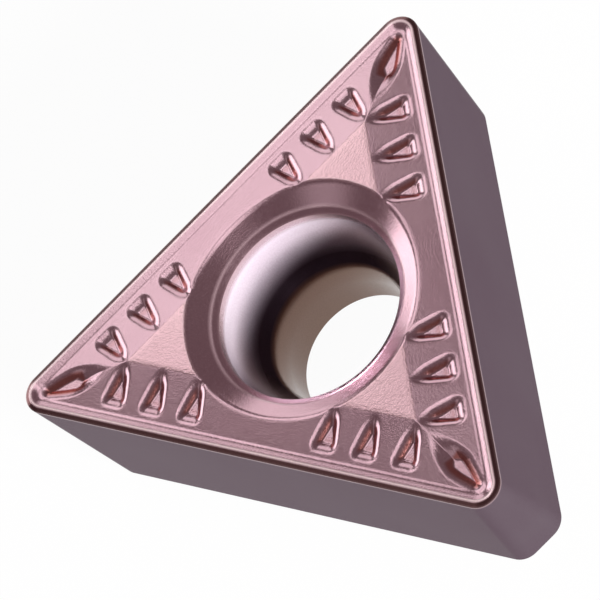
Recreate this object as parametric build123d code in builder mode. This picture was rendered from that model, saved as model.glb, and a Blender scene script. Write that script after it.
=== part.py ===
from build123d import *
import os
from math import acos, cos, degrees, radians, sin, tan

# Body of the insert, a triangle with straight sides and cut back corners
inscribed_circle = 6.35
thickness = 3.18
nose_radius = 0.4
nose_flat = 0.02
seat_corner_width = 0.95

# Strip round the cutting edge, which falls outwards from a narrow crest
strip_width = 0.11
strip_drop = 0.055
crest_width = 0.015

# Chip breaker, measured inwards from the cutting edge and down from the top
land_width = 0.2
land_angle = 10
land_corner_radius = 0.12
valley_wall_angle = 18
valley_curve_radius = 0.6
valley_strips = 5
valley_corner_radius = 0.05
valley_overcut = 0.1
facet_angle = 5.5
plateau_distance = 1.365
plateau_depth = 0.03

# Screw hole with its curved seat for the screw head
bore_diameter = 2.8
opening_diameter = 3.73
opening_depth = 0.34
seat_curve_radius = 2.5
rim_band_width = 0.125
rim_band_drop = 0.08
ring_width = 0.42

# Pockets on the facets, three in a row towards each corner
pocket_pitch = 0.862
pocket_first_distance = 1.483
pockets_in_row = 3
pocket_outer_distance = 0.5
pocket_length = 0.78
pocket_width = 0.5
pocket_point_width = 0.22
pocket_depth = 0.13
pocket_corner_radius = 0.1
pocket_point_radius = 0.06
pocket_floor_length = 0.32
pocket_floor_width = 0.12
pocket_floor_point_width = 0.03
pocket_floor_setback = 0.145
pocket_floor_radius = 0.02
pocket_floor_point_radius = 0.008

# Almond recesses on the corner bisectors
almond_inner_distance = 4.28
almond_outer_distance = 5.58
almond_width = 0.64
almond_shoulder = 0.36
almond_end_radius = 0.16
almond_depth = 0.15
almond_floor_width = 0.12
almond_floor_inset = 0.3
almond_floor_shoulder = 0.2
almond_floor_end_inset = 0.14
almond_floor_end_radius = 0.02

# Sizes that follow from those above
sides = 3
clear_of_part = 1.0
inradius = inscribed_circle / 2
corner_distance = 2 * inradius
nose_distance = corner_distance - nose_radius - nose_flat
seat_corner_distance = corner_distance - seat_corner_width * cos(radians(30))
breaker_distance = strip_width + crest_width
land_distance = strip_width + land_width
land_depth = (land_distance - breaker_distance) * tan(radians(land_angle))
plateau_height = thickness - plateau_depth
wall_slope = tan(radians(valley_wall_angle))
facet_slope = tan(radians(facet_angle))
valley_distance = (
    plateau_depth - land_depth + land_distance * wall_slope + plateau_distance * facet_slope
) / (wall_slope + facet_slope)
bore_radius = bore_diameter / 2
opening_radius = opening_diameter / 2
opening_height = thickness - opening_depth
rim_radius = opening_radius + rim_band_width
rim_height = opening_height + rim_band_drop
ring_radius = rim_radius + ring_width
ring_slope = (plateau_height - rim_height) / ring_width


def facet_height(distance):
    """Height of a facet's plane, at a distance inwards from the cutting edge."""
    return plateau_height - (plateau_distance - distance) * facet_slope


def valley_point(angle):
    """Distance and height on the valley's curve, where it slopes by that angle."""
    tangent = valley_curve_radius * tan(radians(valley_wall_angle + facet_angle) / 2)
    start = valley_distance - tangent * cos(radians(valley_wall_angle))
    level = facet_height(valley_distance) + tangent * sin(radians(valley_wall_angle))
    centre = start + valley_curve_radius * sin(radians(valley_wall_angle))
    centre_height = level + valley_curve_radius * cos(radians(valley_wall_angle))
    return (
        centre + valley_curve_radius * sin(radians(angle)),
        centre_height - valley_curve_radius * cos(radians(angle)),
    )


def beyond(first, second, distance):
    """Point on the line through two profile points, a distance past the second."""
    slope = (second[1] - first[1]) / (second[0] - first[0])
    past = second[0] + distance
    return (past, second[1] + (past - second[0]) * slope)


# Corner cutter, whose face leans out from the seat to the nose
with BuildPart() as corner_cutter:
    with BuildSketch(Plane.YZ) as corner_profile:
        with BuildLine():
            Polyline(
                (seat_corner_distance, 0),
                (nose_distance, thickness),
                (nose_distance, thickness + clear_of_part),
                (corner_distance + clear_of_part, thickness + clear_of_part),
                (corner_distance + clear_of_part, -clear_of_part),
                (seat_corner_distance, -clear_of_part),
                close=True,
            )
        make_face()
    extrude(amount=corner_distance / 2, both=True)

# Valley of the breaker, a concave curve from the land's wall to the facets
strip_turn = (valley_wall_angle + facet_angle) / valley_strips
valley = [valley_point(strip_turn * step - valley_wall_angle) for step in range(valley_strips + 1)]
lowest = min(range(valley_strips + 1), key=lambda step: valley[step][1])
down = valley[: lowest + 1]
down.append(beyond(down[-2], down[-1], valley_overcut))
up = valley[lowest:]
up.insert(0, beyond(up[1], up[0], -valley_overcut))

# Island of facets with the plateau on top
with BuildPart() as island:
    rising = up + [(plateau_distance, plateau_height)]
    for below, above in zip(rising, rising[1:]):
        for distance, height in (below, above):
            with BuildSketch(Plane.XY.offset(height)):
                RegularPolygon(2 * (inradius - distance), sides, rotation=90)
        loft(ruled=True)

# Breaker cutter, whose under side is the land, the valley and the island
with BuildPart() as breaker_cutter:
    land = (land_distance, thickness - land_depth)
    falling = [(breaker_distance, thickness), land] + down
    radii = [nose_radius - breaker_distance, land_corner_radius]
    shrink = (land_corner_radius - valley_corner_radius) / len(down)
    radii += [land_corner_radius - shrink * (step + 1) for step in range(len(down))]
    with BuildSketch(Plane.XY.offset(thickness)) as mouth:
        RegularPolygon(2 * (inradius - breaker_distance), sides, rotation=90)
        fillet(mouth.vertices(), radii[0])
    extrude(amount=clear_of_part)
    for step in range(len(falling) - 1):
        for (distance, height), radius in zip(falling[step:], radii[step : step + 2]):
            with BuildSketch(Plane.XY.offset(height)) as outline:
                RegularPolygon(2 * (inradius - distance), sides, rotation=90)
                fillet(outline.vertices(), radius)
        loft(ruled=True)
    add(island.part, mode=Mode.SUBTRACT)

# Hole cutter, with the bore, the curved seat, the rim band and the ring cone
seat_curve_angle = degrees(
    acos((seat_curve_radius - opening_radius + bore_radius) / seat_curve_radius)
)
bore_length = opening_height - seat_curve_radius * sin(radians(seat_curve_angle))
cone_top = thickness + clear_of_part
with BuildPart() as hole_cutter:
    with BuildSketch(Plane.XZ):
        with BuildLine():
            CenterArc(
                (opening_radius - seat_curve_radius, opening_height),
                seat_curve_radius,
                -seat_curve_angle,
                seat_curve_angle,
            )
            Polyline(
                (opening_radius, opening_height),
                (rim_radius, rim_height),
                (ring_radius, plateau_height),
                (ring_radius + (cone_top - plateau_height) / ring_slope, cone_top),
                (0, cone_top),
                (0, -clear_of_part),
                (bore_radius, -clear_of_part),
                (bore_radius, bore_length),
            )
        make_face()
    revolve(axis=Axis.Z)

# Cutters of pockets and almonds go on past the surface, at twice their depth
cutter_growth = 2.0

# Pocket cutter, a small pit that is wide near the edge and narrow towards the hole
pocket_plane = Plane(
    origin=(0, pocket_outer_distance - inradius, facet_height(pocket_outer_distance)),
    x_dir=(1, 0, 0),
    z_dir=(0, -sin(radians(facet_angle)), cos(radians(facet_angle))),
)


def between(floor_size, rim_size, growth):
    """Size that goes on in a line from the floor's to the rim's as growth passes one."""
    return floor_size + growth * (rim_size - floor_size)


with BuildPart() as pocket_cutter:
    for growth in (0, cutter_growth):
        half_width = between(pocket_floor_width, pocket_width, growth) / 2
        half_point = between(pocket_floor_point_width, pocket_point_width, growth) / 2
        outer = between(pocket_floor_setback, 0, growth)
        inner = between(pocket_floor_setback + pocket_floor_length, pocket_length, growth)
        corner = between(pocket_floor_radius, pocket_corner_radius, growth)
        point_corner = between(pocket_floor_point_radius, pocket_point_radius, growth)
        with BuildSketch(pocket_plane.offset(pocket_depth * (growth - 1))) as pit:
            with BuildLine():
                Polyline(
                    (-half_width, outer),
                    (half_width, outer),
                    (half_point, inner),
                    (-half_point, inner),
                    close=True,
                )
            make_face()
            fillet(pit.vertices().group_by(Axis.Y)[0], corner)
            fillet(pit.vertices().group_by(Axis.Y)[-1], point_corner)
    loft(ruled=True)

# Almond cutter, with a kite shaped inner end and curved side walls
with BuildPart() as almond_cutter:
    for growth in (0, cutter_growth):
        half_width = (almond_floor_width + growth * (almond_width - almond_floor_width)) / 2
        inner = almond_inner_distance + almond_floor_inset * (1 - growth)
        shoulder_rise = almond_floor_shoulder + growth * (almond_shoulder - almond_floor_shoulder)
        outer = almond_outer_distance - almond_floor_end_inset * (1 - growth)
        end = almond_floor_end_radius + growth * (almond_end_radius - almond_floor_end_radius)
        level = facet_height((corner_distance - almond_inner_distance) / 2)
        with BuildSketch(Plane.XY.offset(level + almond_depth * (growth - 1))):
            with BuildLine():
                left = (-half_width, inner + shoulder_rise)
                right = (half_width, inner + shoulder_rise)
                Polyline(left, (0, inner), right)
                Line(right, (end, outer - end))
                ThreePointArc((end, outer - end), (0, outer), (-end, outer - end))
                Line((-end, outer - end), left)
            make_face()
    loft(ruled=True)

# Triangle with straight sides, cut back and rounded at its corners
with BuildPart() as insert:
    with BuildSketch(Plane.XY):
        RegularPolygon(corner_distance, sides, rotation=90)
    extrude(amount=thickness)
    with PolarLocations(0, sides):
        add(corner_cutter.part, mode=Mode.SUBTRACT)
    seat_face = insert.faces().sort_by(Axis.Z)[0]
    top_face = insert.faces().sort_by(Axis.Z)[-1]
    level_edges = seat_face.edges() + top_face.edges()
    fillet([edge for edge in insert.edges() if edge not in level_edges], nose_radius)
    top_face = insert.faces().sort_by(Axis.Z)[-1]
    chamfer(top_face.edges(), strip_width, strip_drop, reference=top_face)

    add(breaker_cutter.part, mode=Mode.SUBTRACT)
    add(hole_cutter.part, mode=Mode.SUBTRACT)
    with PolarLocations(0, sides):
        add(almond_cutter.part, mode=Mode.SUBTRACT)
    for row in range(pockets_in_row):
        for side in (-1, 1):
            place = Location((side * (pocket_first_distance + row * pocket_pitch), 0, 0))
            with PolarLocations(0, sides):
                add(pocket_cutter.part.moved(place), mode=Mode.SUBTRACT)

insert.part.label = "insert"

os.makedirs("parts", exist_ok=True)
export_step(insert.part, "parts/insert.step")
print("volume", insert.part.volume, "faces", len(insert.faces()))
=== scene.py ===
import bpy
import numpy as np
from mathutils import Matrix, Vector


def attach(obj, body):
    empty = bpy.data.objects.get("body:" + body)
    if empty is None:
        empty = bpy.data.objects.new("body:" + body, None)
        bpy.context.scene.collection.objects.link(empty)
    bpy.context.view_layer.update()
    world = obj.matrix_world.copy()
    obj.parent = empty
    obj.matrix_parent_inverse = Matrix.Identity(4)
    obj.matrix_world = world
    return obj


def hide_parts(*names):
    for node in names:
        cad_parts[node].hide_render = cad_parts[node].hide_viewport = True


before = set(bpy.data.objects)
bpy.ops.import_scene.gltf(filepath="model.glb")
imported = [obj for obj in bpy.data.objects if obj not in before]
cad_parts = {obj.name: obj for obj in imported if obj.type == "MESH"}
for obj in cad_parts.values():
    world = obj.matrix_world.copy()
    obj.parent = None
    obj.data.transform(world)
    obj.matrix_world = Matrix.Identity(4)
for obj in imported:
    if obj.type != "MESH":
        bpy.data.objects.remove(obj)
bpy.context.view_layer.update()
print("frame loaded")

mm = 0.001

view = {
    "position": (33.0297 * mm, -16.1122 * mm, 54.965 * mm),
    "right": (0.83922, 0.32872, -0.43319),
    "up": (-0.15834, 0.90981, 0.38364),
    "lens": 205.76,
    "sensor": 36,
    "near": 0.001,
    "far": 5,
}


def makeCamera(settings):
    # the camera's axes are its right, its up and the way back from what it looks at
    right = Vector(settings["right"]).normalized()
    up = Vector(settings["up"]).normalized()
    back = right.cross(up)
    turn = Matrix((right, up, back)).transposed().to_4x4()
    camera = bpy.data.objects.new("photoCamera", bpy.data.cameras.new("photoCamera"))
    camera.matrix_world = Matrix.Translation(settings["position"]) @ turn
    camera.data.lens = settings["lens"]
    camera.data.sensor_width = settings["sensor"]
    camera.data.clip_start = settings["near"]
    camera.data.clip_end = settings["far"]
    bpy.context.scene.collection.objects.link(camera)
    bpy.context.scene.camera = camera
    return camera


makeCamera(view)
bpy.context.scene.view_settings.view_transform = "Standard"
print("camera set")

# sizes of the insert in millimetres; many are the CAD's, the nose is rounded more to
# stay inside it, and the edge, the facets, the rim band, the pits and the almonds are
# set closer to the photo
body = {
    "inradius": 3.175,
    "thickness": 3.18,
    "noseRadius": 0.4275,
    "noseDistance": 5.9225,  # from the axis to the corner's flat, at the cutting face
    "seatCornerDistance": 5.5273,  # the same at the seat face
    "stripWidth": 0.11,
    "stripDrop": 0.055,
    "crestWidth": 0.015,
    "crestDepth": 0.03,
    "landEnd": 0.14,
    "landAngle": 16,
    "wallAngle": 22,
    "facetAngle": 4.4,
    "plateauDistance": 1.365,
    "plateauDepth": 0.003,
    "crestBlend": 0.003,
    "landBlend": 0.01,
    "valleyBlend": 0.02,
    "plateauBlend": 0.006,
    "ridgeBlend": 0.06,
}
hole = {
    "boreRadius": 1.4,
    "openingRadius": 1.865,
    "openingDepth": 0.34,
    "seatCurveRadius": 2.5,
    "bandWidth": 0.125,
    "bandDrop": 0.105,
    "ringWidth": 0.42,
    "ringBlend": 0.012,
    "patchRadius": 2.45,  # where the grid turns from the edge's lines to circles
}
pits = {
    "places": (1.483, 2.345, 3.207),  # along the edge, from its middle
    "outerDistance": 0.46,
    "length": 0.78,
    "wideEnd": 0.54,
    "narrowEnd": 0.2,
    "depth": 0.125,
    "levelFrom": 0.32,  # how far in the level floor lies at that depth under the facet
    "endSlope": 0.71,  # fall of the walls for each millimetre inwards
    "sideSlope": 0.9,
    "pointSlope": 0.5,
    "floorBlend": 0.012,
    "cornerRound": 0.14,
    "rimBlend": 0.08,
    "endRimBlend": 0.065,
    "endRimReach": 0.25,
}
almond = {
    "innerDistance": 4.28,
    "shoulder": 0.36,
    "width": 0.6,
    "endRadius": 0.16,
    "outerDistance": 5.58,
    "bulge": 1.7,  # how far the sides bow out on the way to the outer end
    "depth": 0.15,
    "innerSlope": 0.55,  # fall of the walls for each millimetre inwards
    "sideSlope": 0.8,
    "cornerRound": 0.16,
    "floorBlend": 0.02,
    "rimBlend": 0.1,
}
grid = {
    "middleSteps": 20,
    "pitStart": 1.1,
    "pitStep": 0.0235,
    "noseSteps": 14,
    "rows": 56,
    "ringRows": 8,
    "bandRows": 4,
    "seatRows": 13,
    "boreRows": 2,
    "edgeRows": (0, 0.035, 0.075, 0.11, 0.118, 0.126, 0.16, 0.2, 0.235, 0.27, 0.31),
    "flankShares": (0, 0.02, 1),  # of the way from the cutting edge to the seat face
    "seatReach": 0.85,  # share of the way to the seat face's edge that its inner row takes
    "weldStep": 0.0000137,  # points are rounded to this to find those that fall together
    "sharpAngle": 38,  # in degrees
}

# which face a point is on
zone = {"face": 0, "flank": 1, "hole": 2, "seatFace": 3}

# tells points apart that lie over each other and aren't welded
layers = {"flank": (0, 100, 200), "seatCircle": 900}

thirdTurn = np.radians(120)


def softMin(first, second, blend):
    # the lower of two heights, and where they are within the blend of each other
    # a parabola that meets both lines
    share = np.clip(0.5 + 0.5 * (second - first) / blend, 0, 1)
    return second + (first - second) * share - blend * share * (1 - share)


def softMax(first, second, blend):
    # the same rounding for the higher of two heights
    return -softMin(-first, -second, blend)


def slope(angle):
    # the tangent of an angle in degrees
    return np.tan(np.radians(angle))


def facetHeight(distance):
    # the facet's plane rises with the distance from the edge, to the plateau
    top = body["thickness"] - body["plateauDepth"]
    return top - (body["plateauDistance"] - distance) * slope(body["facetAngle"])


def edgeProfile(distance):
    # strip, crest and land are the lowest of three lines; the wall and the facet meet
    # in the valley, the highest of two lines; the plateau cuts the facet off
    start = body["stripWidth"] + body["crestWidth"]
    crest = body["thickness"] - body["crestDepth"]
    strip = crest - body["stripDrop"] * (1 - distance / body["stripWidth"])
    land = crest - (distance - start) * slope(body["landAngle"])
    landFoot = crest - (body["landEnd"] - start) * slope(body["landAngle"])
    wall = landFoot - (distance - body["landEnd"]) * slope(body["wallAngle"])
    height = softMin(strip, crest, body["crestBlend"])
    height = softMin(height, land, body["crestBlend"])
    height = softMin(height, wall, body["landBlend"])
    height = softMax(height, facetHeight(distance), body["valleyBlend"])
    inside = distance > body["landEnd"]
    capped = softMin(height, body["thickness"] - body["plateauDepth"], body["plateauBlend"])
    return np.where(inside, capped, height)


def roundedMin(radius, *depths):
    # the lowest of several depths, with corners rounded to an arc of that radius: what
    # each depth lacks of the radius is added up as the sides of a right angle
    lacking = sum(np.maximum(radius - depth, 0) ** 2 for depth in depths)
    return radius - np.sqrt(lacking)


def pitDepth(along, inward):
    # four planes under the facet, with rounded corners: the wall at the wide end, the two
    # side walls, which draw together, and the ramp at the narrow end; a level floor cuts
    # them off
    taper = (pits["wideEnd"] - pits["narrowEnd"]) / 2 / pits["length"]
    side = pits["wideEnd"] / 2 - taper * inward
    walls = roundedMin(
        pits["cornerRound"],
        (side - along) * pits["sideSlope"],
        (side + along) * pits["sideSlope"],
        inward * pits["endSlope"],
        (pits["length"] - inward) * pits["pointSlope"],
    )
    level = pits["depth"] + (inward - pits["levelFrom"]) * slope(body["facetAngle"])
    return softMin(walls, level, pits["floorBlend"])


def almondDepth(onBisector, across):
    # a floor, the kite's two inner planes and the walls of a bowed outline that ends in
    # an arc, with rounded corners
    across = np.abs(across)
    half = almond["width"] / 2
    kite = np.hypot(almond["shoulder"], half)
    fromTip = onBisector - almond["innerDistance"]
    inner = (fromTip * half - across * almond["shoulder"]) / kite * almond["innerSlope"]
    centre = almond["outerDistance"] - almond["endRadius"]
    run = centre - almond["innerDistance"] - almond["shoulder"]
    way = np.clip((fromTip - almond["shoulder"]) / run, 0, 1)
    edgeHighlightLine = half - (half - almond["endRadius"]) * way ** almond["bulge"]
    end = almond["endRadius"] - np.hypot(onBisector - centre, across)
    outer = np.where(onBisector > centre, end, edgeHighlightLine - across) * almond["sideSlope"]
    depth = roundedMin(almond["cornerRound"], inner, outer)
    return softMin(depth, almond["depth"], almond["floorBlend"])


def rimPoint():
    # radius and height where the ring meets the rim band
    radius = hole["openingRadius"] + hole["bandWidth"]
    return radius, body["thickness"] - hole["openingDepth"] + hole["bandDrop"]


def ringHeight(radius):
    # the cone round the hole rises in a straight line from the rim band
    rimRadius, rimHeight = rimPoint()
    top = body["thickness"] - body["plateauDepth"]
    return rimHeight + (radius - rimRadius) * (top - rimHeight) / hole["ringWidth"]


def reliefHeight(x, y, distance):
    # the edge's profile, cut by the pits, the almond and the ring, over half a side
    fromSide = y + body["inradius"]
    fromNext = body["inradius"] - (x * np.sqrt(3) + y) / 2
    inner = softMin(fromSide, fromNext, body["ridgeBlend"])
    reach = np.where(distance <= body["noseRadius"], distance, inner)
    height = edgeProfile(reach)
    for place in pits["places"]:
        inward = fromSide - pits["outerDistance"]
        wide = np.clip(1 - inward / pits["endRimReach"], 0, 1)
        rim = pits["rimBlend"] + wide * (pits["endRimBlend"] - pits["rimBlend"])
        height = height - softMax(pitDepth(x - place, inward), 0, rim)
    onBisector = (x * np.sqrt(3) - y) / 2
    across = (x + y * np.sqrt(3)) / 2
    level = facetHeight(body["inradius"] - almond["innerDistance"] / 2)
    height = softMin(height, level - almondDepth(onBisector, across), almond["rimBlend"])
    return softMin(height, ringHeight(np.hypot(x, y)), hole["ringBlend"])


def noseArc(height):
    # half of one corner's outline: where its arc starts on the side, from the side's middle
    cut = body["seatCornerDistance"] + (
        (body["noseDistance"] - body["seatCornerDistance"]) * height / body["thickness"]
    )
    sideEnd = body["inradius"] * np.sqrt(3) - (2 * body["inradius"] - cut) / np.cos(np.pi / 6)
    return sideEnd - body["noseRadius"] * np.tan(np.pi / 6)


def outlinePoints(height, columns):
    # a straight side, and an arc of 60 degrees that is the half of the corner
    start = noseArc(height)
    flat = columns["along"] * start / columns["along"][-1]
    turn = columns["turn"]
    radius = body["noseRadius"]
    x = np.concatenate([flat, start + radius * np.sin(turn)])
    y = np.concatenate([np.zeros_like(flat), radius * (1 - np.cos(turn))]) - body["inradius"]
    return x, y


def makeColumns():
    # lines across the side, wide apart at its middle and close where the pits are
    start = noseArc(body["thickness"])
    middle = np.linspace(0, grid["pitStart"], grid["middleSteps"] + 1)
    corner = hole["patchRadius"] * np.sqrt(3) / 2
    ringCount = int(np.ceil((corner - grid["pitStart"]) / grid["pitStep"]))
    ringPart = np.linspace(grid["pitStart"], corner, ringCount + 1)[1:]
    restCount = int(np.ceil((start - corner) / grid["pitStep"]))
    rest = np.linspace(corner, start, restCount + 1)[1:]
    along = np.concatenate([middle, ringPart, rest])
    turn = np.linspace(0, np.pi / 3, grid["noseSteps"] + 1)[1:]
    return {"along": along, "turn": turn, "ring": grid["middleSteps"] + ringCount}


def halfSideGrid(columns):
    # rows at fixed distances from the outline, then rows that share out what is left to
    # the ring, the bisector or the centre of the nose's arc
    along, turn = columns["along"], columns["turn"]
    edgeX, edgeY = outlinePoints(body["thickness"], columns)
    nearX = np.concatenate([np.zeros_like(along), -np.sin(turn)])
    nearY = np.concatenate([np.ones_like(along), np.cos(turn)])
    toRing = body["inradius"] - np.sqrt(np.maximum(hole["patchRadius"] ** 2 - along**2, 0))
    toBisector = (body["inradius"] * np.sqrt(3) - along) / np.sqrt(3)
    onRing = np.arange(len(along)) <= columns["ring"]
    length = np.where(onRing, toRing, toBisector)
    length = np.concatenate([length, np.full(len(turn), body["noseRadius"])])
    fixed = np.array(grid["edgeRows"])
    share = np.arange(1, grid["rows"] + 1) / grid["rows"]
    inside = fixed[-1] + (length[None, :] - fixed[-1]) * share[:, None]
    distance = np.concatenate([np.repeat(fixed[:, None], len(length), axis=1), inside])
    x = edgeX[None, :] + distance * nearX[None, :]
    y = edgeY[None, :] + distance * nearY[None, :]
    return x, y, distance


def holeRows():
    # a profile of radius and height, from the ring's inner end down to the seat face: the
    # rim band, the seat's arc and the bore
    rimRadius, rimHeight = rimPoint()
    opening = body["thickness"] - hole["openingDepth"]
    bandRadius = np.linspace(rimRadius, hole["openingRadius"], grid["bandRows"] + 1)
    bandHeight = np.linspace(rimHeight, opening, grid["bandRows"] + 1)
    across = hole["seatCurveRadius"] - hole["openingRadius"] + hole["boreRadius"]
    fall = np.linspace(0, np.arccos(across / hole["seatCurveRadius"]), grid["seatRows"] + 1)[1:]
    seatRadius = hole["openingRadius"] - hole["seatCurveRadius"] * (1 - np.cos(fall))
    seatHeight = opening - hole["seatCurveRadius"] * np.sin(fall)
    boreHeight = np.linspace(seatHeight[-1], 0, grid["boreRows"] + 1)[1:]
    boreRadius = np.full(len(boreHeight), hole["boreRadius"])
    radius = np.concatenate([bandRadius, seatRadius, boreRadius])
    height = np.concatenate([bandHeight, seatHeight, boreHeight])
    return radius, height


def gridFaces(rows, count):
    # four corners of each cell of a grid of points
    first = np.arange(rows - 1)[:, None] * count + np.arange(count - 1)[None, :]
    cells = np.stack([first, first + 1, first + count + 1, first + count], axis=-1)
    return cells.reshape(-1, 4)


def cuttingFacePart(columns):
    # the grid between the edge and the ring, at the relief's height
    x, y, distance = halfSideGrid(columns)
    z = reliefHeight(x, y, distance)
    return x, y, z, np.full_like(x, zone["face"]), 0 * x


def ringPart(angle):
    # circles that draw in from the grid to the rim band, at the relief's height
    radius = np.linspace(hole["patchRadius"], rimPoint()[0], grid["ringRows"] + 1)[:, None]
    x = radius * np.sin(angle)
    y = -radius * np.cos(angle)
    z = reliefHeight(x, y, y + body["inradius"])
    return x, y, z, np.full_like(x, zone["face"]), 0 * x


def holePart(angle):
    # the hole's profile carried round the axis, with a layer for each row
    radius, height = holeRows()
    x = radius[:, None] * np.sin(angle)
    y = -radius[:, None] * np.cos(angle)
    layer = np.arange(len(radius))[:, None] + 0 * x
    return x, y, height[:, None] + 0 * x, np.full_like(x, zone["hole"]), layer


def withTip(x, y, distance):
    # an outline with one more point, the middle of the corner's flat
    return np.append(x, distance * np.sqrt(3) / 2), np.append(y, -distance / 2)


def seatOutline(columns):
    # the outline at the seat face, where the corners are cut back most
    return withTip(*outlinePoints(0, columns), body["seatCornerDistance"])


def flankPart(columns):
    # straight lines from the outline at the cutting face to the outline at the seat face
    topX, topY = withTip(*outlinePoints(body["thickness"], columns), body["noseDistance"])
    seatX, seatY = seatOutline(columns)
    stripFoot = body["thickness"] - body["crestDepth"] - body["stripDrop"]
    share = np.array(grid["flankShares"])[::-1, None]
    x = topX + (seatX - topX) * share
    y = topY + (seatY - topY) * share
    z = stripFoot * (1 - share) + 0 * x
    layer = np.array(layers["flank"])[::-1, None] + 0 * x
    return x, y, z, np.full_like(x, zone["flank"]), layer


def seatFacePart(columns):
    # flat, from the outline in to a row that turns from a circle to the corner
    seatX, seatY = seatOutline(columns)
    corner = np.full(len(columns["turn"]) + 1, np.pi / 3)
    toAxis = np.arcsin(np.minimum(columns["along"] / hole["patchRadius"], np.sqrt(3) / 2))
    reach = np.maximum(columns["along"] * 2 / np.sqrt(3), hole["patchRadius"])
    reach = hole["patchRadius"] + (reach - hole["patchRadius"]) * grid["seatReach"]
    reach = np.concatenate([reach, np.full(len(corner), reach[-1])])
    toAxis = np.concatenate([toAxis, corner])
    x = np.stack([reach * np.sin(toAxis), seatX])
    y = np.stack([-reach * np.cos(toAxis), seatY])
    layer = np.array([layers["seatCircle"], layers["flank"][-1]])[:, None] + 0 * x
    return x, y, 0 * x, np.full_like(x, zone["seatFace"]), layer


def seatCirclePart(angle):
    # flat, from the bore out to the circle
    radius = np.array([hole["boreRadius"], hole["patchRadius"]])[:, None]
    x = radius * np.sin(angle)
    y = -radius * np.cos(angle)
    layer = np.array([len(holeRows()[0]) - 1, layers["seatCircle"]])[:, None] + 0 * x
    return x, y, 0 * x, np.full_like(x, zone["seatFace"]), layer


def halfSide():
    # half a side's grids of x, y, z, zone and layer
    columns = makeColumns()
    angle = np.arcsin(columns["along"][: columns["ring"] + 1] / hole["patchRadius"])
    return [
        cuttingFacePart(columns),
        ringPart(angle),
        holePart(angle),
        flankPart(columns),
        seatFacePart(columns),
        seatCirclePart(angle),
    ]


def makeInsert():
    # half a side, its mirror image, and both turned twice by 120 degrees; points that
    # fall together are welded
    points, zones, faces, count = [], [], [], 0
    for x, y, z, face, layer in halfSide():
        rows, columns = x.shape
        cells = gridFaces(rows, columns)
        flat = np.stack([part.ravel() for part in (x, y, z, layer)], axis=1)
        for mirror in (1, -1):
            for turn in thirdTurn * np.arange(3):
                turned = flat.copy()
                wasX, wasY = flat[:, 0] * mirror, flat[:, 1]
                turned[:, 0] = wasX * np.cos(turn) - wasY * np.sin(turn)
                turned[:, 1] = wasX * np.sin(turn) + wasY * np.cos(turn)
                points.append(turned)
                zones.append(face.ravel())
                faces.append((cells if mirror == 1 else cells[:, ::-1]) + count)
                count += len(flat)
    points, zones, faces = np.concatenate(points), np.concatenate(zones), np.concatenate(faces)
    key = np.round(points[:, [0, 1, 3]] / grid["weldStep"]).astype(np.int64)
    _, firstOf, index = np.unique(key, axis=0, return_index=True, return_inverse=True)
    faces = index.ravel()[faces]
    points, zones = points[firstOf, :3], zones[firstOf]
    return points, zones, faces


# where the colours, the painted shade and the painted highlights begin and end: distances
# in millimetres, shares, and gains that say how fast a colour comes in
marks = {
    # painted shade on the walls of the pits and almonds
    "wallGain": 2.5,  # of a pit's or an almond's depth, as a share of its floor's
    "wallStart": 0.4,
    "pitFloorFrom": 0.8,
    "almondFloorFrom": 0.9,
    "endWallGain": 3,
    "rampGain": 4,
    "almondFade": 0.05,
    "plateauRise": 0.003,
    "plateauReach": 0.03,
    # painted shade on the strip along the cutting edge
    "stripShadeFade": 0.01,
    # painted highlights: pale lines along the crest, the edge and the hole's rims
    "crestHighlightLine": 0.022,
    "edgeHighlightLine": 0.025,
    "edgeHighlightShare": 0.2,
    "rimHighlightLine": 0.01,
    "openingHighlightShare": 0.35,
    "bandHighlightShare": 0.3,
    "rimHighlightBottom": 2.7,  # height over the seat face
    # painted shade down the seat: where it starts and how far it fades in
    "seatShadeTop": 2.33,  # height over the seat face
    "seatShadeFade": 0.62,
    "holeFade": 0.01,
}


def lineMark(distance, width):
    # one on a line, and falling off at both sides as a bell curve of that width
    return np.exp(-((distance / width) ** 2))


def pitWallShadeMark(side, fromSide):
    # painted shade on the side walls of the pits, without the floor, the end wall and the ramp
    wall = np.zeros_like(side)
    inward = fromSide - pits["outerDistance"]
    for place in pits["places"]:
        depth = pitDepth(side - place, inward) / pits["depth"]
        floorShare = (depth - marks["pitFloorFrom"]) / (1 - marks["pitFloorFrom"])
        endWall = inward * pits["endSlope"] / pits["depth"] - depth
        ramp = (pits["length"] - inward) * pits["pointSlope"] / pits["depth"] - depth
        mark = np.clip(depth * marks["wallGain"] - marks["wallStart"], 0, 1)
        mark = mark * (1 - np.clip(floorShare, 0, 1))
        mark = mark * np.clip(endWall * marks["endWallGain"], 0, 1)
        wall = np.maximum(wall, mark * np.clip(ramp * marks["rampGain"], 0, 1))
    return wall


def almondWallShadeMark(side, out):
    # painted shade on the walls of the almond past its kite, without the floor
    onBisector = (side * np.sqrt(3) - out) / 2
    across = (side + out * np.sqrt(3)) / 2
    hollow = almondDepth(onBisector, across) / almond["depth"]
    floorShare = (hollow - marks["almondFloorFrom"]) / (1 - marks["almondFloorFrom"])
    past = (onBisector - almond["innerDistance"] - almond["shoulder"]) / marks["almondFade"]
    wall = np.clip(hollow * marks["wallGain"] - marks["wallStart"], 0, 1)
    return wall * (1 - np.clip(floorShare, 0, 1)) * np.clip(past, 0, 1)


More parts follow.
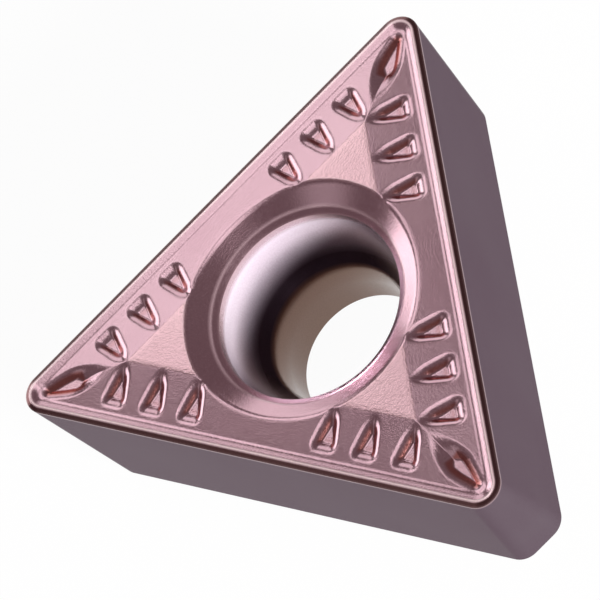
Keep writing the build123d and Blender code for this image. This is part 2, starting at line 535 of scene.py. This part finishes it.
def marksAt(points, zones):
    # how much a point belongs to each colour, painted shade and painted highlights among them,
    # from the same formulas as the heights
    x, y, z = points.T
    turn = np.round(np.arctan2(x, -y) / thirdTurn) * thirdTurn
    side = np.abs(x * np.cos(turn) + y * np.sin(turn))
    out = y * np.cos(turn) - x * np.sin(turn)
    fromSide = out + body["inradius"]
    top = zones == zone["face"]
    inHole = zones == zone["hole"]
    fromAxis = np.hypot(x, y)
    rise = z - (body["thickness"] - body["plateauDepth"])
    onPlateau = top & (np.abs(rise) < marks["plateauRise"])
    onPlateau &= fromSide > body["plateauDistance"] - marks["plateauReach"]
    noseStart = noseArc(body["thickness"])
    fromNose = body["noseRadius"] - np.hypot(side - noseStart, fromSide - body["noseRadius"])
    inNose = (side > noseStart) & (fromSide < body["noseRadius"])
    edge = np.where(inNose, fromNose, fromSide)
    # painted highlights: pale lines along the crest and the outer edge
    crestMiddle = body["stripWidth"] + body["crestWidth"] / 2
    crest = lineMark(edge - crestMiddle, marks["crestHighlightLine"])
    crest = top * (crest + marks["edgeHighlightShare"] * lineMark(edge, marks["edgeHighlightLine"]))
    # painted highlights: pale lines round the hole's opening and the rim band
    opening = fromAxis - hole["openingRadius"] - marks["rimHighlightLine"]
    rim = marks["openingHighlightShare"] * lineMark(opening, marks["rimHighlightLine"])
    rim = rim + marks["bandHighlightShare"] * lineMark(fromAxis - rimPoint()[0], marks["rimHighlightLine"])
    rim = rim * (z > marks["rimHighlightBottom"])
    seat = (hole["openingRadius"] - fromAxis) / marks["holeFade"]
    bore = (hole["boreRadius"] - fromAxis) / marks["holeFade"] + 1
    return {
        # painted shade on the walls of the pits and the almonds
        "pitWallShade": pitWallShadeMark(side, fromSide) * top,
        "almondWallShade": almondWallShadeMark(side, out) * top,
        "plateau": onPlateau * 1.0,
        # painted shade: the strip along the cutting edge is given a dark colour
        "strip": top * np.clip((body["stripWidth"] - edge) / marks["stripShadeFade"], 0, 1),
        "crest": np.clip(crest + rim, 0, 1),
        "seat": inHole * np.clip(seat, 0, 1),
        # painted shade: the seat darkens towards its foot, down the hole
        "seatFootShade": inHole * np.clip((marks["seatShadeTop"] - z) / marks["seatShadeFade"], 0, 1),
        "bore": inHole * np.clip(bore, 0, 1),
        # painted shade: the flanks, and the seat face with them, take a darker colour than the top
        "flank": ((zones == zone["flank"]) | (zones == zone["seatFace"])) * 1.0,
    }


def makeMesh(name, points, faces, shares):
    # cells that closed up to a triangle lose their double corner, and those that
    # closed up to a line are left out
    double = faces == np.roll(faces, 1, axis=1)
    quads = faces[~double.any(axis=1)]
    closed = faces[double.sum(axis=1) == 1]
    kept = ~double[double.sum(axis=1) == 1]
    triangles = closed[kept].reshape(-1, 3)
    triangles = triangles[triangles[:, 0] != triangles[:, 2]]
    mesh = bpy.data.meshes.new(name)
    mesh.from_pydata((points * mm).tolist(), [], quads.tolist() + triangles.tolist())
    mesh.polygons.foreach_set("use_smooth", np.ones(len(mesh.polygons), dtype=bool))
    for mark, values in shares.items():
        layer = mesh.attributes.new(mark, "FLOAT", "POINT")
        layer.data.foreach_set("value", values.astype(np.float32))
    mesh.update()
    mesh.set_sharp_from_angle(angle=np.radians(grid["sharpAngle"]))
    piece = bpy.data.objects.new(name, mesh)
    bpy.context.scene.collection.objects.link(piece)
    return piece


points, zones, faces = makeInsert()
insert = makeMesh("coatedInsert", points, faces, marksAt(points, zones))
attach(insert, "root")
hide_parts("insert")
print("insert made", len(insert.data.vertices), "points", len(insert.data.polygons), "faces")

finish = {
    "face": (0.71, 0.485, 0.54, 1),
    "plateau": (0.82, 0.565, 0.595, 1),
    # painted shade: the dark strip along the cutting edge
    "strip": (0.17, 0.08, 0.08, 1),
    # painted highlights: the pale lines along the crest, the edge and the hole's rims
    "crest": (0.92, 0.74, 0.74, 1),
    # painted shade on the walls of the pits and the almonds
    "pitWallShade": (0.52, 0.21, 0.19, 1),
    "seat": (0.81, 0.73, 0.82, 1),
    "bore": (0.3, 0.19, 0.14, 1),
    # painted shade at the seat's foot, down the hole
    "seatFootShade": (0.06, 0.04, 0.055, 1),
    # painted shade: the side faces are darker than the top's coating
    "flank": (0.245, 0.2, 0.23, 1),
    "flankEdgeTint": (0.42, 0.38, 0.4, 1),
    "darkGrain": (0.89, 0.86, 0.87, 1),  # shade of the grain's darkest spots
    "darkStain": (0.93, 0.90, 0.92, 1),  # the same for the stains
    "white": (1, 1, 1, 1),
    "metallic": 0.99,
    "crestMetallic": 0.3,
    "seatMetallic": 0.5,
    "grainSize": 0.03,  # sizes and heights in millimetres
    "stainSize": 2.2,
    "grainDetail": 3,
    "grainRange": (0.3, 0.7),  # of the noise, stretched to 0 and 1
    "plateauDetail": 6,
    "plateauRange": (0.2, 0.8),
    "grainHeight": 0.0009,
    "plateauHeight": 0.0022,
    "plateauGrain": 0.045,
    "roughLow": 0.15,
    "roughHigh": 0.22,
}


def addMark(nodes, name):
    # the values that the mesh keeps under that name
    source = nodes.new("ShaderNodeAttribute")
    source.attribute_name = name
    return source.outputs["Fac"]


def mixed(nodes, links, factor, low, high, blend="MIX"):
    # a colour that turns from the first to the second as the factor goes from 0 to 1
    mixer = nodes.new("ShaderNodeMix")
    mixer.data_type = "RGBA"
    mixer.blend_type = blend
    sockets = (mixer.inputs[0], mixer.inputs[6], mixer.inputs[7])  # factor and two colours
    for socket, value in zip(sockets, (factor, low, high)):
        if isinstance(value, (tuple, float)):
            socket.default_value = value
        else:
            links.new(value, socket)
    return mixer.outputs[2]


def speckle(nodes, links, size, detail, noiseRange):
    # a noise in the object's own coordinates, with its range stretched to 0 and 1
    place = nodes.new("ShaderNodeTexCoord")
    noise = nodes.new("ShaderNodeTexNoise")
    noise.inputs["Scale"].default_value = 1 / (size * mm)
    noise.inputs["Detail"].default_value = detail
    links.new(place.outputs["Object"], noise.inputs["Vector"])
    spread = nodes.new("ShaderNodeMapRange")
    spread.inputs["From Min"].default_value = noiseRange[0]
    spread.inputs["From Max"].default_value = noiseRange[1]
    links.new(noise.outputs["Fac"], spread.inputs["Value"])
    return spread.outputs["Result"]


def joined(nodes, links, operation, first, second):
    # the sum or the product of two values
    both = nodes.new("ShaderNodeMath")
    both.operation = operation
    links.new(first, both.inputs[0])
    links.new(second, both.inputs[1])
    return both.outputs[0]


def makeFinish(settings):
    # a thin rose coating on sintered carbide: colours by place, with painted shade on the pit
    # and almond walls, the edge strip, the seat's foot and the flanks, and painted highlight
    # lines along the crest, the edge and the hole's rims; a fine grain everywhere, and a
    # coarser sintered skin on the plateau
    material = bpy.data.materials.new("coatedCarbide")
    material.use_nodes = True
    nodes, links = material.node_tree.nodes, material.node_tree.links
    shader = nodes["Principled BSDF"]
    fineNoise = (settings["grainDetail"], settings["grainRange"])
    coarseNoise = (settings["plateauDetail"], settings["plateauRange"])
    grain = speckle(nodes, links, settings["grainSize"], *fineNoise)
    coarse = speckle(nodes, links, settings["plateauGrain"], *coarseNoise)
    stain = speckle(nodes, links, settings["stainSize"], *fineNoise)
    colour = mixed(nodes, links, addMark(nodes, "plateau"), settings["face"], settings["plateau"])
    for mark in ("pitWallShade", "almondWallShade", "strip", "crest", "seat", "seatFootShade", "bore", "flank"):
        own = settings["pitWallShade" if mark == "almondWallShade" else mark]
        colour = mixed(nodes, links, addMark(nodes, mark), colour, own)
    for spots, dark in ((grain, "darkGrain"), (stain, "darkStain")):
        shade = mixed(nodes, links, spots, settings[dark], settings["white"])
        colour = mixed(nodes, links, 1.0, colour, shade, "MULTIPLY")
    links.new(colour, shader.inputs["Base Color"])
    # the painted highlight lines are less metallic, so they show pale
    metal = nodes.new("ShaderNodeMapRange")
    metal.inputs["To Min"].default_value = settings["metallic"]
    metal.inputs["To Max"].default_value = settings["crestMetallic"]
    links.new(addMark(nodes, "crest"), metal.inputs["Value"])
    inHole = nodes.new("ShaderNodeMapRange")
    links.new(addMark(nodes, "seat"), inHole.inputs["Value"])
    links.new(metal.outputs["Result"], inHole.inputs["To Min"])
    inHole.inputs["To Max"].default_value = settings["seatMetallic"]
    links.new(inHole.outputs["Result"], shader.inputs["Metallic"])
    onFlank = addMark(nodes, "flank")
    tint = mixed(nodes, links, onFlank, settings["white"], settings["flankEdgeTint"])
    links.new(tint, shader.inputs["Specular Tint"])
    rough = nodes.new("ShaderNodeMapRange")
    rough.inputs["To Min"].default_value = settings["roughLow"]
    rough.inputs["To Max"].default_value = settings["roughHigh"]
    links.new(grain, rough.inputs["Value"])
    links.new(rough.outputs["Result"], shader.inputs["Roughness"])
    fine = nodes.new("ShaderNodeBump")
    fine.inputs["Distance"].default_value = settings["grainHeight"] * mm
    links.new(grain, fine.inputs["Height"])
    skin = nodes.new("ShaderNodeBump")
    skin.inputs["Distance"].default_value = settings["plateauHeight"] * mm
    onPlateau = addMark(nodes, "plateau")
    links.new(joined(nodes, links, "MULTIPLY", coarse, onPlateau), skin.inputs["Height"])
    links.new(fine.outputs["Normal"], skin.inputs["Normal"])
    links.new(skin.outputs["Normal"], shader.inputs["Normal"])
    return material


insert.data.materials.append(makeFinish(finish))
print("finish made")

floor = {
    "reach": 1.0,  # in metres
    "colour": (0.9, 0.9, 0.9, 1),
    "roughness": 0.9,
    "whiteShare": 0.96,  # the rest shows the insert's shadow
}


def makeFloor(settings):
    # a pale sheet; the camera and the insert's gloss see it mostly as white, with the
    # rest left for the insert's shadow
    reach = settings["reach"]
    mesh = bpy.data.meshes.new("floor")
    corners = [(-reach, -reach, 0), (reach, -reach, 0), (reach, reach, 0), (-reach, reach, 0)]
    mesh.from_pydata(corners, [], [(0, 1, 2, 3)])
    piece = bpy.data.objects.new("floor", mesh)
    bpy.context.scene.collection.objects.link(piece)
    material = bpy.data.materials.new("palePaper")
    material.use_nodes = True
    nodes, links = material.node_tree.nodes, material.node_tree.links
    shader = nodes["Principled BSDF"]
    shader.inputs["Base Color"].default_value = settings["colour"]
    shader.inputs["Roughness"].default_value = settings["roughness"]
    glow = nodes.new("ShaderNodeEmission")
    glow.inputs["Color"].default_value = (1, 1, 1, 1)
    glow.inputs["Strength"].default_value = 1
    mixer = nodes.new("ShaderNodeMixShader")
    path = nodes.new("ShaderNodeLightPath")
    seen = joined(nodes, links, "ADD", path.outputs["Is Camera Ray"], path.outputs["Is Glossy Ray"])
    share = nodes.new("ShaderNodeMath")
    share.operation = "MULTIPLY"
    share.inputs[1].default_value = settings["whiteShare"]
    links.new(seen, share.inputs[0])
    links.new(share.outputs[0], mixer.inputs[0])
    links.new(shader.outputs[0], mixer.inputs[1])
    links.new(glow.outputs[0], mixer.inputs[2])
    links.new(mixer.outputs[0], nodes["Material Output"].inputs["Surface"])
    mesh.materials.append(material)
    return piece


makeFloor(floor)

studio = {"light": (0.165, 0.122, 0.128, 1)}


def makeWorld(settings):
    # an even dim room, which only the camera sees as white
    world = bpy.data.worlds.new("studio")
    world.use_nodes = True
    nodes, links = world.node_tree.nodes, world.node_tree.links
    room = nodes["Background"]
    room.inputs[0].default_value = settings["light"]
    white = nodes.new("ShaderNodeBackground")
    white.inputs[0].default_value = (1, 1, 1, 1)
    mixer = nodes.new("ShaderNodeMixShader")
    path = nodes.new("ShaderNodeLightPath")
    links.new(path.outputs["Is Camera Ray"], mixer.inputs[0])
    links.new(room.outputs[0], mixer.inputs[1])
    links.new(white.outputs[0], mixer.inputs[2])
    links.new(mixer.outputs[0], nodes["World Output"].inputs["Surface"])
    bpy.context.scene.world = world


makeWorld(studio)

# angles in degrees, lengths in millimetres; glow is the brightness of the lamp's face
lamps = {
    "key": {"azimuth": 153, "height": 48, "away": 150, "wide": 54, "high": 44, "glow": 1.28},
    "bridge": {"azimuth": 153, "height": 68, "away": 150, "wide": 14, "high": 58, "glow": 1.1},
    "veil": {"azimuth": 153, "height": 63, "away": 150, "wide": 100, "high": 44, "glow": 0.07},
    "overhead": {"azimuth": 146, "height": 88.8, "away": 150, "wide": 44, "high": 84, "glow": 1.2},
    "lowLeft": {"azimuth": 178, "height": 15, "away": 150, "wide": 84, "high": 94, "glow": 1.9},
    "lowBack": {"azimuth": 131, "height": 16, "away": 150, "wide": 80, "high": 92, "glow": 0.95},
    "rightLow": {"azimuth": -16, "height": 18, "away": 150, "wide": 60, "high": 22, "glow": 120},
    "nearLeft": {"azimuth": 236, "height": 49, "away": 150, "wide": 60, "high": 44, "glow": 0.3},
}


def makeLamps(settings):
    # each lamp is a rectangle that faces the insert, at an azimuth and a height in degrees;
    # its power is its glow times its area times pi
    for name, lamp in settings.items():
        light = bpy.data.lights.new(name, "AREA")
        light.shape = "RECTANGLE"
        light.size = lamp["wide"] * mm
        light.size_y = lamp["high"] * mm
        light.energy = lamp["glow"] * np.pi * light.size * light.size_y
        around, up = np.radians(lamp["azimuth"]), np.radians(lamp["height"])
        aim = Vector((np.cos(around) * np.cos(up), np.sin(around) * np.cos(up), np.sin(up)))
        holder = bpy.data.objects.new(name, light)
        holder.location = aim * lamp["away"] * mm
        holder.rotation_euler = (-aim).to_track_quat("-Z", "Y").to_euler()
        bpy.context.scene.collection.objects.link(holder)


makeLamps(lamps)
print("studio set")
